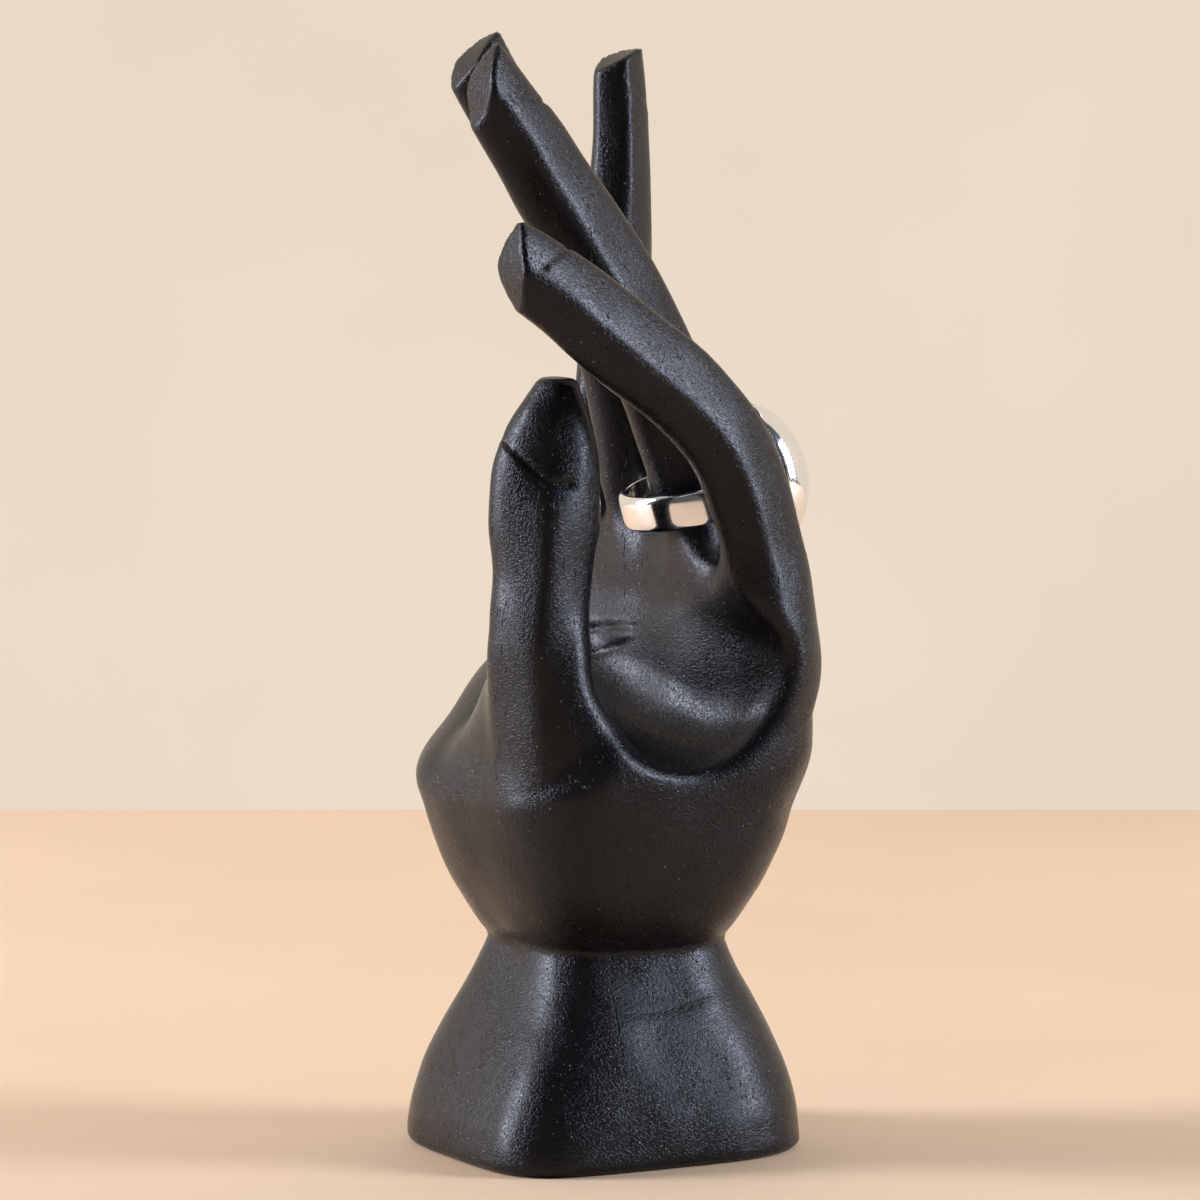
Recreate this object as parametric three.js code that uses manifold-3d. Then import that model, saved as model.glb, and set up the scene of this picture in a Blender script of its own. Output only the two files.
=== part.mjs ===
// A hand-shaped ring holder: a right hand carved with its flared cuff from one block of black-stained
// wood, and the silver dome ring that sits on its middle finger.
// Millimetres, +Z up. The origin is the middle of the flat underside of the cuff. The palm faces -X and
// the thumb side faces -Y, so the back of the hand faces +X.
import * as THREE from "three";
import { mergeVertices } from "three/addons/utils/BufferGeometryUtils.js";
import Module from "manifold-3d";

const wasm = await Module();
wasm.setup();

// Cuff: a rounded square with a small chamfer under it, drawn in to the waist.
const CUFF_WIDTH = 46.4;
const CUFF_CHAMFER = 0.8;
const WAIST_HEIGHT = 27.5;
const WAIST_WIDTH = 29.4;

// Heel of the hand: the bulb above the waist. The four reaches are measured from the origin.
const HEEL_HEIGHT = 50;
const HEEL_PALM_REACH = 24;
const HEEL_BACK_REACH = 22.3;
const HEEL_THUMB_REACH = 27.4;
const HEEL_LITTLE_REACH = 22.5;

// Palm: the slab that the fingers grow from. The slope from the heel runs up to its front face.
const KNUCKLE_HEIGHT = 82;
const PALM_BACK_REACH = 18.5;
const PALM_THICKNESS = 13;
const KNUCKLE_CROWN = 5;

// Fingers: side by side at one pitch, the index finger's middle this far in from the heel's thumb side.
// Each rise is from the knuckles to the middle of the slanting flat at the finger's tip.
const INDEX_INSET = 4.1;
const FINGER_PITCH = 15.5;
const FINGER_THICKNESS = 12;
const FINGER_BREADTH = 8.6;
const INDEX_RISE = 40.6;
const MIDDLE_RISE = 63.8;
const THIRD_RISE = 65;
const LITTLE_RISE = 66.2;

// Thumb: it stands on the heel, with its middle this far in front of the origin and to the thumb side.
const THUMB_HEIGHT = 106;
const THUMB_ROOT_HEIGHT = 77;
const THUMB_FORWARD = 18;
const THUMB_OFFSET = 15;
const THUMB_THICKNESS = 15;
const THUMB_BREADTH = 13.5;
const THUMB_RIDGE_TURN = 25;
const THUMB_FLARE = 3;

// Hollow between the thumb and the palm: a scoop that runs in from the thumb side. Its width is that of
// its rim, and its floor is the lowest place of the rim.
const HOLLOW_FLOOR = 52.4;
const HOLLOW_HEIGHT = 30;
const HOLLOW_WIDTH = 33;
const HOLLOW_DEPTH = 44;

// Ring: it rides on the middle finger, this far above the knuckles, square to the finger there.
const RING_BORE = 18.4;
const RING_BAND_WIDTH = 5;
const RING_BAND_THICKNESS = 1.3;
const RING_SEAT = 7;
const RING_FORWARD = 2.4;
const RING_LEAN = 14;
const DOME_LENGTH = 20.5;
const DOME_BREADTH = 18;
const DOME_RISE = 6;
const DOME_WALL = 1.2;
const SOLDER_GAP = 0.3;

const SECTION_POINTS = 24;

// How far a digit's section is drawn to its side ridges.
const DIGIT_BEVEL = 1.25;

// How far the index finger lies to the thumb side of the origin.
const INDEX_OFFSET = HEEL_THUMB_REACH - INDEX_INSET;

// The middle of the palm slab, which the fingers' centre lines start from.
const ROOT = PALM_BACK_REACH - PALM_THICKNESS / 2;

// A closed solid through rings of points: each ring has the same number of points, and the ends are capped.
function skin(rings) {
  const count = rings[0].length;
  const positions = rings.flat().flatMap((p) => [p.x, p.y, p.z]);
  const index = [];
  for (let r = 0; r + 1 < rings.length; r++) {
    for (let i = 0; i < count; i++) {
      const a = r * count + i;
      const b = r * count + ((i + 1) % count);
      index.push(a, b, a + count, b, b + count, a + count);
    }
  }
  for (const r of [0, rings.length - 1]) {
    const middle = new THREE.Vector3();
    rings[r].forEach((p) => middle.addScaledVector(p, 1 / count));
    const at = positions.length / 3;
    positions.push(middle.x, middle.y, middle.z);
    for (let i = 0; i < count; i++) {
      const a = r * count + i;
      const b = r * count + ((i + 1) % count);
      index.push(...(r === 0 ? [at, b, a] : [at, a, b]));
    }
  }
  const geometry = new THREE.BufferGeometry();
  geometry.setAttribute("position", new THREE.Float32BufferAttribute(positions, 3));
  geometry.setIndex(index);
  return geometry;
}

function solidOf(geometry) {
  const bare = geometry.clone();
  bare.deleteAttribute("normal");
  bare.deleteAttribute("uv");
  const merged = mergeVertices(bare, 1e-4);
  const mesh = new wasm.Mesh({
    numProp: 3,
    vertProperties: merged.attributes.position.array,
    triVerts: new Uint32Array(merged.index.array),
  });
  return new wasm.Manifold(mesh);
}

function geometryOf(solid) {
  const mesh = solid.getMesh();
  const geometry = new THREE.BufferGeometry();
  geometry.setAttribute("position", new THREE.Float32BufferAttribute(mesh.vertProperties, 3));
  geometry.setIndex(new THREE.BufferAttribute(mesh.triVerts, 1));
  const faceted = geometry.toNonIndexed();
  faceted.computeVertexNormals();
  return faceted;
}

const union = (solids) => solids.reduce((all, solid) => all.add(solid));
const mix = (from, to, share) => from + (to - from) * share;
const power = (value, exponent) => Math.sign(value) * Math.abs(value) ** exponent;

// A level superellipse between four sides: squareness 2 is an ellipse, and more is squarer.
function levelSection(z, { left, right, near, far, squareness }) {
  return Array.from({ length: SECTION_POINTS }, (_, i) => {
    const turn = (2 * Math.PI * (i + 0.5)) / SECTION_POINTS;
    return new THREE.Vector3(
      (left + right) / 2 + ((right - left) / 2) * power(Math.cos(turn), 2 / squareness),
      (near + far) / 2 + ((far - near) / 2) * power(Math.sin(turn), 2 / squareness),
      z,
    );
  });
}

const square = (reach, squareness) => ({ left: -reach, right: reach, near: -reach, far: reach, squareness });

function mixSection(from, to, share) {
  const section = {};
  for (const key of Object.keys(from)) {
    section[key] = mix(from[key], to[key], share);
  }
  return section;
}

function cuff() {
  const foot = CUFF_WIDTH / 2;
  const waist = WAIST_WIDTH / 2;
  const steps = 9;
  const rings = [levelSection(0, square(foot - CUFF_CHAMFER, 4.2))];
  for (let i = 0; i <= steps; i++) {
    const share = i / steps;
    const reach = mix(waist, foot, (1 - share ** 1.7) ** 1.3);
    rings.push(levelSection(mix(CUFF_CHAMFER, WAIST_HEIGHT, share), square(reach, mix(4.2, 3, share))));
  }
  return solidOf(skin(rings));
}

const heelSection = {
  left: -HEEL_PALM_REACH,
  right: HEEL_BACK_REACH,
  near: -HEEL_THUMB_REACH,
  far: HEEL_LITTLE_REACH,
  squareness: 3,
};

// The heel swells from the waist, and its top runs back as a slope to the foot of the palm.
function heelAndPalm() {
  const waist = square(WAIST_WIDTH / 2, 3);
  const heel = heelSection;
  const half = FINGER_BREADTH / 2;
  const knuckles = {
    left: PALM_BACK_REACH - PALM_THICKNESS,
    right: PALM_BACK_REACH,
    near: -INDEX_OFFSET,
    far: 3 * FINGER_PITCH - INDEX_OFFSET + half,
    squareness: 3.4,
  };
  const rings = [levelSection(WAIST_HEIGHT - 0.5, waist)];
  for (const share of [0.04, 0.15, 0.32, 0.5, 0.7, 0.88, 1]) {
    const swell = (bend) => Math.sin((Math.PI / 2) * share ** bend);
    const section = mixSection(waist, heel, swell(0.95));
    section.right = mix(waist.right, heel.right, swell(1.25));
    rings.push(levelSection(mix(WAIST_HEIGHT, HEEL_HEIGHT, share), section));
  }
  for (const share of [0.08, 0.18, 0.28, 0.38, 0.48, 0.6, 0.72, 0.84, 0.93, 1]) {
    const section = mixSection(heel, knuckles, share);
    const slope = share ** 0.88;
    const crown = KNUCKLE_CROWN * Math.max(0, (share - 0.72) / 0.28) ** 2.4;
    section.left = mix(heel.left, knuckles.left, slope * slope * (3 - 2 * slope)) + crown;
    section.right = mix(heel.right, knuckles.right, share ** 1.6) - crown;
    rings.push(levelSection(mix(HEEL_HEIGHT, KNUCKLE_HEIGHT, share), section));
  }
  return solidOf(skin(rings));
}

// A digit: sections square to a smooth centre line. A station holds its place, half its thickness and
// breadth, and its bevel: 1 is an oval, more draws the section to a ridge, and less fills it out.
function digit(stations, ridgeTurn = 0) {
  const line = new THREE.CatmullRomCurve3(stations.map(({ x, y, z }) => new THREE.Vector3(x, y, z)));
  const size = new THREE.CatmullRomCurve3(
    stations.map(({ thick, broad, bevel }) => new THREE.Vector3(thick, broad, bevel)),
  );
  const steps = 3 * (stations.length - 1);
  const rings = [];
  for (let i = 0; i <= steps; i++) {
    const centre = line.getPoint(i / steps);
    const along = line.getTangent(i / steps);
    const { x: thick, y: broad, z: bevel } = size.getPoint(i / steps);
    const thickWay = new THREE.Vector3(0, 1, 0).cross(along).normalize().applyAxisAngle(along, ridgeTurn);
    const broadWay = along.clone().cross(thickWay);
    rings.push(
      Array.from({ length: SECTION_POINTS }, (_, k) => {
        const turn = (2 * Math.PI * k) / SECTION_POINTS;
        return centre
          .clone()
          .addScaledVector(thickWay, thick * power(Math.cos(turn), bevel))
          .addScaledVector(broadWay, broad * power(Math.sin(turn), Math.min(bevel, 0.95)));
      }),
    );
  }
  return solidOf(skin(rings));
}

// Everything past the slanting flat that a fingertip is cut to. The flat's middle is at the finger's full
// rise and this share of it forward, and it leans back.
function pastTip(place, rise, { forward, lean }) {
  const past = 5 * FINGER_THICKNESS;
  const box = new THREE.BoxGeometry(past, FINGER_PITCH, past);
  box.translate(-past / 2, 0, 0);
  box.rotateY(THREE.MathUtils.degToRad(lean));
  box.translate(ROOT - forward * rise, place * FINGER_PITCH - INDEX_OFFSET, KNUCKLE_HEIGHT + rise);
  return solidOf(box);
}

// A finger in its own upright plane. A station's x and z from the root are shares of the finger's rise,
// and its last two numbers are shares of the full thickness and breadth.
function finger(place, rise, stations, tip) {
  const y = place * FINGER_PITCH - INDEX_OFFSET;
  const full = FINGER_THICKNESS / 2;
  const whole = digit(
    stations.map(([x, z, thick, share]) => ({
      x: ROOT + x * rise,
      y,
      z: KNUCKLE_HEIGHT + z * rise,
      thick: thick * full,
      broad: (share * FINGER_BREADTH) / 2,
      bevel: DIGIT_BEVEL,
    })),
  );
  return whole.subtract(pastTip(place, rise, tip));
}

function fingers() {
  const index = [
    [0.02, -0.64, 0.6, 0.5],
    [0.037, -0.345, 0.93, 1],
    [0, -0.099, 1, 1.05],
    [-0.049, 0.099, 1.03, 1],
    [-0.138, 0.308, 1.05, 1],
    [-0.291, 0.502, 1.03, 1],
    [-0.547, 0.714, 1, 1],
    [-0.788, 0.892, 0.87, 0.95],
    [-1.059, 1.059, 0.7, 0.8],
  ];
  const middle = [
    [0.024, -0.345, 0.83, 0.8],
    [0.006, -0.125, 1.1, 1.05],
    [-0.017, 0.078, 1.35, 1.1],
    [-0.041, 0.172, 1.2, 1.05],
    [-0.1, 0.298, 1.05, 1],
    [-0.235, 0.549, 0.97, 1],
    [-0.398, 0.774, 0.9, 1],
    [-0.489, 0.897, 0.82, 0.95],
    [-0.627, 1.066, 0.68, 0.8],
  ];
  const third = [
    [0.023, -0.338, 0.83, 0.8],
    [0.009, -0.123, 1.05, 1.05],
    [-0.025, 0.123, 1.03, 1],
    [-0.086, 0.385, 0.95, 1],
    [-0.243, 0.723, 0.87, 1],
    [-0.345, 0.877, 0.8, 0.95],
    [-0.477, 1.062, 0.66, 0.8],
  ];
  const little = [
    [0.023, -0.332, 0.7, 0.6],
    [0.012, -0.121, 0.97, 1],
    [0.018, 0.121, 0.93, 1],
    [0.045, 0.423, 0.88, 1],
    [0.06, 0.755, 0.77, 0.9],
    [0.06, 1.057, 0.6, 0.66],
  ];
  return [
    finger(0, INDEX_RISE, index, { forward: 0.96, lean: 11 }),
    finger(1, MIDDLE_RISE, middle, { forward: 0.53, lean: 23 }),
    finger(2, THIRD_RISE, third, { forward: 0.42, lean: 36 }),
    finger(3, LITTLE_RISE, little, { forward: -0.054, lean: 66 }),
  ];
}

// The mound under the thumb: level sections that draw the heel in to the thumb's root, all on its corner.
function thumbMound() {
  const halfThick = 0.44 * THUMB_THICKNESS;
  const halfBroad = 0.48 * THUMB_BREADTH;
  const root = {
    left: -THUMB_FORWARD - halfThick,
    right: -THUMB_FORWARD + halfThick,
    near: -THUMB_OFFSET - halfBroad,
    far: -THUMB_OFFSET + halfBroad,
    squareness: 2,
  };
  const rings = [];
  for (const share of [-0.08, 0, 0.08, 0.16, 0.25, 0.35, 0.5, 0.7, 1]) {
    const drawn = Math.max(share, 0);
    const section = mixSection(heelSection, root, drawn);
    section.far = mix(heelSection.far, root.far, 1 - (1 - drawn) ** 2.2);
    section.right = mix(heelSection.right, root.right, 1 - (1 - drawn) ** 3.6);
    section.left = mix(heelSection.left, root.left, drawn) + THUMB_FLARE * drawn * (1 - drawn);
    rings.push(levelSection(mix(HEEL_HEIGHT, THUMB_ROOT_HEIGHT, share), section));
  }
  return solidOf(skin(rings));
}

// A station is how far it lies in front of the thumb's middle, as a share of the full thickness, and in
// from its outer side, as a share of the full breadth, its share of the rise above the heel, and its
// shares of the full thickness and breadth.
function thumb() {
  const rise = THUMB_HEIGHT - HEEL_HEIGHT;
  const stations = [
    [-0.2, 0.52, -0.02, 0.8, 1],
    [-0.03, 0.19, 0.2, 0.95, 1.15],
    [0.047, 0.03, 0.36, 0.98, 1.1],
    [0.047, 0, 0.46, 0.94, 1.03],
    [0.013, 0, 0.54, 0.94, 1],
    [-0.007, 0, 0.66, 1, 1],
    [-0.02, 0, 0.78, 0.91, 0.95],
    [-0.067, 0, 0.885, 0.7, 0.84],
    [-0.133, 0, 0.965, 0.42, 0.66],
    [-0.147, 0, 1, 0.3, 0.55],
  ];
  return digit(
    stations.map(([forward, inward, share, thick, broad]) => ({
      x: -THUMB_FORWARD - forward * THUMB_THICKNESS,
      y: inward * THUMB_BREADTH - THUMB_OFFSET,
      z: HEEL_HEIGHT + share * rise,
      thick: (thick * THUMB_THICKNESS) / 2,
      broad: (broad * THUMB_BREADTH) / 2,
      bevel: DIGIT_BEVEL,
    })),
    THREE.MathUtils.degToRad(THUMB_RIDGE_TURN),
  );
}

// Upright sections, from outside the thumb side in to where the hollow runs out: the lower half of an
// oval, and above it a back wall that leans forwards from a shoulder, so that the index finger's root
// stays whole. A station is its share of the depth, how far the front and back walls lie from the middle
// as shares of half the width, the rise of its floor and its shoulder as shares of the height, and the lean.
function hollow() {
  const stations = [
    [-0.16, 1.3, 1.2, -0.02, 0.53, 1.6],
    [0, 1.06, 1, 0, 0.53, 1.6],
    [0.08, 0.92, 0.88, 0.015, 0.53, 1.2],
    [0.17, 0.72, 0.65, 0.035, 0.56, 0.6],
    [0.26, 0.61, 0.48, 0.06, 0.62, 0.4],
    [0.35, 0.58, 0.385, 0.09, 0.75, 0.2],
    [0.53, 0.62, 0.315, 0.175, 0.79, 0.2],
    [0.71, 0.58, 0.265, 0.28, 0.79, 0.2],
    [0.88, 0.42, 0.22, 0.42, 0.79, 0.2],
  ];
  const halved = stations.flatMap((station, i) => {
    const midway = station.map((value, k) => (value + stations[Math.max(i - 1, 0)][k]) / 2);
    return i === 0 ? [station] : [midway, station];
  });
  const halfWidth = HOLLOW_WIDTH / 2;
  const top = HOLLOW_FLOOR + HOLLOW_HEIGHT;
  const around = SECTION_POINTS / 2;
  const rings = halved.map(([share, ahead, behind, rise, shoulder, lean]) => {
    const y = share * HOLLOW_DEPTH - HEEL_THUMB_REACH;
    const front = -ahead * halfWidth;
    const back = behind * halfWidth;
    const half = (back - front) / 2;
    const middle = HOLLOW_FLOOR + rise * HOLLOW_HEIGHT + half;
    const leansFrom = Math.max(middle, HOLLOW_FLOOR + shoulder * HOLLOW_HEIGHT);
    const ring = [];
    for (let k = 0; k <= around; k++) {
      const turn = (Math.PI * k) / around;
      ring.push(new THREE.Vector3(back - half + half * Math.cos(turn), y, middle - half * Math.sin(turn)));
    }
    ring.push(new THREE.Vector3(front, y, top));
    const climbs = around - 2;
    for (let k = climbs; k >= 1; k--) {
      const z = mix(middle, top, k / climbs);
      const x = back - lean * Math.max(z - leansFrom, 0);
      ring.push(new THREE.Vector3(Math.max(x, front + 0.04 * HOLLOW_WIDTH), y, z));
    }
    return ring;
  });
  return solidOf(skin(rings));
}

function carving() {
  return union([cuff(), heelAndPalm(), thumbMound(), thumb(), ...fingers()]).subtract(hollow());
}

// The shank: a band with a flat bore and a rounded outside, about its own upright axis.
function shank() {
  const bore = RING_BORE / 2;
  const halfBand = RING_BAND_WIDTH / 2;
  const profile = new THREE.Shape();
  profile.moveTo(bore, -halfBand);
  profile.lineTo(bore + RING_BAND_THICKNESS * 0.35, -halfBand);
  profile.quadraticCurveTo(bore + RING_BAND_THICKNESS * 1.65, 0, bore + RING_BAND_THICKNESS * 0.35, halfBand);
  profile.lineTo(bore, halfBand);
  profile.closePath();
  const points = profile.getPoints(8);
  const lathe = new THREE.LatheGeometry(points, 56);
  return lathe.rotateX(Math.PI / 2);
}

// The dome: a hollow oval cap that straddles the shank and stands off the back of the finger.
function dome() {
  const saddle = RING_BORE / 2 + RING_BAND_THICKNESS + SOLDER_GAP;
  const rest = RING_BORE / 2;
  const reach = saddle + DOME_RISE - rest;
  const cap = (wall) => {
    const sphere = new THREE.SphereGeometry(1, 40, 24);
    sphere.scale(reach - wall, DOME_BREADTH / 2 - wall, DOME_LENGTH / 2 - wall);
    sphere.translate(rest, 0, 0);
    return solidOf(sphere);
  };
  const bore = new THREE.CylinderGeometry(saddle, saddle, 2 * DOME_LENGTH, 64);
  bore.rotateX(Math.PI / 2);
  return cap(0).subtract(cap(DOME_WALL)).subtract(solidOf(bore));
}

const blackWood = new THREE.MeshStandardMaterial({ color: 0x15151a, roughness: 0.45, metalness: 0 });
const silver = new THREE.MeshStandardMaterial({ color: 0xd4d4d8, roughness: 0.14, metalness: 1 });

const holder = new THREE.Group();

const carvedHand = new THREE.Mesh(geometryOf(carving()), blackWood);
carvedHand.name = "carved_hand";
holder.add(carvedHand);

const ring = new THREE.Group();
ring.position.set(ROOT - RING_FORWARD, FINGER_PITCH - INDEX_OFFSET, KNUCKLE_HEIGHT + RING_SEAT);
ring.rotation.y = THREE.MathUtils.degToRad(-RING_LEAN);

const ringShank = new THREE.Mesh(shank(), silver);
ringShank.name = "ring_shank";
ring.add(ringShank);

const ringDome = new THREE.Mesh(geometryOf(dome()), silver);
ringDome.name = "ring_dome";
ring.add(ringDome);
holder.add(ring);

export default holder;
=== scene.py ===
import bmesh
import bpy
import numpy as np
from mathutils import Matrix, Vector


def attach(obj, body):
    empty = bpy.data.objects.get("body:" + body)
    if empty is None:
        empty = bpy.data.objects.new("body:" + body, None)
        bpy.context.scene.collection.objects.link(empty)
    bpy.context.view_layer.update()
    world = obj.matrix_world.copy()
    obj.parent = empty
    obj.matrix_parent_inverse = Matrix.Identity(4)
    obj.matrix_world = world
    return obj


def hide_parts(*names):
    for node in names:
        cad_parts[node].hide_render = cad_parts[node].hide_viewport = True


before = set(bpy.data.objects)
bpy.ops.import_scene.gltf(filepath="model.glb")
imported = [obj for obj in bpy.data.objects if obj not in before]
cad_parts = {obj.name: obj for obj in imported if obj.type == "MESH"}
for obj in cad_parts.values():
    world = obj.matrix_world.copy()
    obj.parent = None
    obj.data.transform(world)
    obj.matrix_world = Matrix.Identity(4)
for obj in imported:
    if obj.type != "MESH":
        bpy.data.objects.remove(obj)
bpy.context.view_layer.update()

# Camera. It looks a little down on the thumb side of the hand, from the palm's quarter, with a long
# lens, so that the whole holder stands upright in a square picture.
EYE = Vector((-0.450, -0.7794, 0.157))
LOOKED_AT = Vector((-0.0007, 0.0004, 0.0745))
LENS = 199.0
SENSOR = 36.0

camera = bpy.data.objects.new("camera", bpy.data.cameras.new("camera"))
camera.data.lens = LENS
camera.data.sensor_width = SENSOR
camera.location = EYE
camera.rotation_euler = (LOOKED_AT - EYE).to_track_quat("-Z", "Y").to_euler()
bpy.context.scene.collection.objects.link(camera)
bpy.context.scene.camera = camera

# Carved hand. One block of open-grained wood, stained black: a right hand with its fingers up, on a
# flared cuff. It is cut with gouges and knives, sanded to a satin and left with pores and scratches.
# The shape is a field: a length in millimetres that is below nought inside the wood.
MM = 0.001

CUFF_TOP = 31.0
CUFF_FOOT_ROUND = 1.0
WAIST_ROUND = 0.9
# Height, then half width of the cuff.
CUFF_REACH = np.array([
    (0, 23.6), (1.2, 24.0), (5, 23.75), (10, 22.6), (16, 20.4), (20, 18.4), (24, 16.3), (27.5, 14.9),
    (32, 13.5),
])
# The cuff's faint level crease on the thumb side: its height, half width and depth.
CUFF_CREASE = (20.7, 0.9, 0.28)
# Height, then how far the heel and the palm reach to the palm side, the back, the thumb side and the
# little finger's side.
PALM_REACH = np.array([
    (24, -11.0, 10.6, -11.2, 11.2),
    (27.5, -13.8, 13.4, -14.0, 13.9),
    (30, -16.0, 15.2, -16.8, 16.0),
    (33, -18.0, 16.5, -19.6, 17.6),
    (38, -20.9, 19.0, -22.7, 19.8),
    (44, -23.1, 21.5, -24.9, 21.6),
    (50, -24.3, 22.7, -26.2, 22.7),
    (54, -21.2, 22.9, -26.8, 23.7),
    (58, -16.6, 22.6, -27.2, 24.7),
    (62, -12.9, 22.0, -27.5, 25.7),
    (66, -7.4, 21.0, -27.0, 26.5),
    (70, -0.6, 20.0, -26.0, 27.0),
    (75, 4.4, 19.2, -24.4, 27.3),
    (80, 4.5, 18.2, -23.4, 27.4),
    (86, 4.4, 17.0, -22.6, 27.4),
])
# The palm's top, beside the index finger and between the others.
PALM_TOP = (79.2, 83.4)
HEEL_TOP = 51.0

def through(at, knots, values):
    """A smooth curve through the knots, in cubic pieces. The slope at a knot is the harmonic mean of the
    slopes on both sides, and nought where they turn, so that the curve never swings past its knots."""
    secant = np.diff(values) / np.diff(knots)
    before, after = secant[:-1], secant[1:]
    same_way = before * after > 0
    slope = np.zeros(len(knots))
    slope[1:-1][same_way] = (2 * before * after / np.where(same_way, before + after, 1))[same_way]
    slope[0], slope[-1] = secant[0], secant[-1]
    at = np.clip(at, knots[0], knots[-1])
    piece = np.clip(np.searchsorted(knots, at) - 1, 0, len(knots) - 2)
    span = knots[piece + 1] - knots[piece]
    t = (at - knots[piece]) / span
    return (
        (1 + 2 * t) * (1 - t) ** 2 * values[piece]
        + t * (1 - t) ** 2 * span * slope[piece]
        + t * t * (3 - 2 * t) * values[piece + 1]
        + t * t * (t - 1) * span * slope[piece + 1]
    )


def joined(a, b, fillet):
    """The two shapes together, with a hollow fillet of about that size where they meet."""
    h = np.maximum(fillet - np.abs(a - b), 0) / fillet
    return np.minimum(a, b) - h * h * fillet / 4


def cut_by(a, b, edge):
    """What both shapes share, with the edge between them rounded off to about that size."""
    return -joined(-a, -b, edge)


def smooth_step(low, high, value):
    """Nought below low, one above high, and a smooth rise between."""
    t = np.clip((value - low) / (high - low), 0, 1)
    return t * t * (3 - 2 * t)


def level_field(x, y, z, left, right, near, far, square, ridge):
    """How far a point lies outside a level section, along the line from its middle. The section is a
    superellipse, and towards the near left corner its exponent rises by ridge, which sharpens it."""
    across = (2 * x - left - right) / (right - left)
    along = (2 * y - near - far) / (far - near)
    corner = np.clip(-(across + along) / 1.6, 0, 1) ** 2
    power = square + ridge * corner
    size = (np.abs(across) ** power + np.abs(along) ** power + 1e-9) ** (1 / power)
    reach = np.sqrt((x - (left + right) / 2) ** 2 + (y - (near + far) / 2) ** 2)
    return reach - reach / size


def cuff_field(x, y, z):
    """The cuff: rounded squares from the foot to the waist, with a rounded lower edge. Towards the foot it
    spreads a little to the palm side, and a faint crease bows across its thumb side."""
    half = through(z, CUFF_REACH[:, 0], CUFF_REACH[:, 1])
    foot = smooth_step(22, 2, z)
    left = -half - foot * (2.8 - 0.06 * (y + 16))
    side = level_field(x, y, z, left, half, -half - 0.3 * foot, half, 3.0, 1.0 + 0.6 * foot)
    height, half_width, depth = CUFF_CREASE
    dent = np.exp(-(((z - height - 0.012 * (x + 5) ** 2) / half_width) ** 2))
    dent = dent * smooth_step(-16, -11, x) * smooth_step(10, 3, x)
    side = side + depth * dent * smooth_step(-5, -10, y)
    return cut_by(cut_by(side, -z, CUFF_FOOT_ROUND), z - CUFF_TOP, WAIST_ROUND)


def evened(at, knots, values, reach=1.6):
    """The curve through the knots, each place taken as the mean of five within that reach of it."""
    return sum(through(at + reach * part, knots, values) for part in (-1, -0.5, 0, 0.5, 1)) / 5


def reach_field(x, y, z, table, top, bottom, square, ridge):
    """Level sections between four sides that the table gives by height, closed above by a rounded top."""
    left, right, near, far = (evened(z, table[:, 0], table[:, k]) for k in (1, 2, 3, 4))
    side = level_field(x, y, z, left, right, near, far, square, ridge)
    return cut_by(cut_by(side, z - top, 5.0), bottom - z, WAIST_ROUND)


# The hollow between the thumb and the palm is scooped in from the thumb side. Its rim is this far in
# from the outline, and its walls draw together inwards.
SCOOP_FLOOR = np.array([
    (-34, 53.4), (-27, 53.6), (-20, 54.5), (-12, 56.1), (-4, 58.3), (4, 61.2), (12, 65.0),
])
SCOOP_BACK = np.array([
    (-34, 16.6), (-27.4, 13.4), (-24, 11.6), (-20, 9.4), (-16, 7.7), (-12, 6.5), (-4, 5.2), (4, 4.4),
    (12, 3.6),
])
SCOOP_FRONT = np.array([
    (-34, -25.8), (-27, -18.2), (-24, -14.7), (-22, -12.2), (-20, -11.0), (-16, -10.0), (-12, -9.4),
    (-4, -9.2), (4, -8.2), (12, -6.0),
])
# Over its back wall the scoop leans forwards: y, the height where that starts, and how steeply.
SCOOP_LEAN = np.array([
    (-34, 70.4, 1.3), (-27, 70.4, 1.2), (-23.5, 70.8, 0.85), (-20, 71.0, 0.55), (-17.5, 71.5, 0.4),
    (-12, 73.0, 0.25), (12, 76.0, 0.2),
])
LEAN_BEND = 2.4
SCOOP_TOP = 83.0
SCOOP_END = 14.0
FRONT_SWELL = 2.6


def scoop_field(x, y, z):
    """The scoop: upright walls above, and below them the lower half of an oval, for each depth. Its front
    wall swells forwards at mid height, and its back wall leans forwards above, with a soft bend."""
    floor = through(y, SCOOP_FLOOR[:, 0], SCOOP_FLOOR[:, 1])
    back = through(y, SCOOP_BACK[:, 0], SCOOP_BACK[:, 1])
    front = through(y, SCOOP_FRONT[:, 0], SCOOP_FRONT[:, 1])
    deep = (back - front) / 2 * 1.02
    front = front - FRONT_SWELL * smooth_step(58, 68, z) * smooth_step(84, 70, z)
    above = z - through(y, SCOOP_LEAN[:, 0], SCOOP_LEAN[:, 1])
    lean = through(y, SCOOP_LEAN[:, 0], SCOOP_LEAN[:, 2])
    back = back - lean * (above + np.sqrt(above**2 + LEAN_BEND**2)) / 2
    half = np.maximum((back - front) / 2, 1.5)
    across = (x - (back + front) / 2) / half
    down = np.minimum(z - floor - deep, 0) / deep
    size = np.sqrt(across**2 + down**2 + 1e-9)
    reach = np.sqrt((across * half) ** 2 + (down * deep) ** 2)
    return cut_by(cut_by(reach - reach / size, y - SCOOP_END, 6.0), z - SCOOP_TOP, 2.0)


# A digit follows a centre line in an upright plane. Each row of its table is x, z, half its thickness
# and half its breadth. Its section is a rhombus with soft corners: crisp along its two side ridges
# and full on the back and the pad.
RIDGE = 0.16
FULLNESS = 0.9


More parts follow.
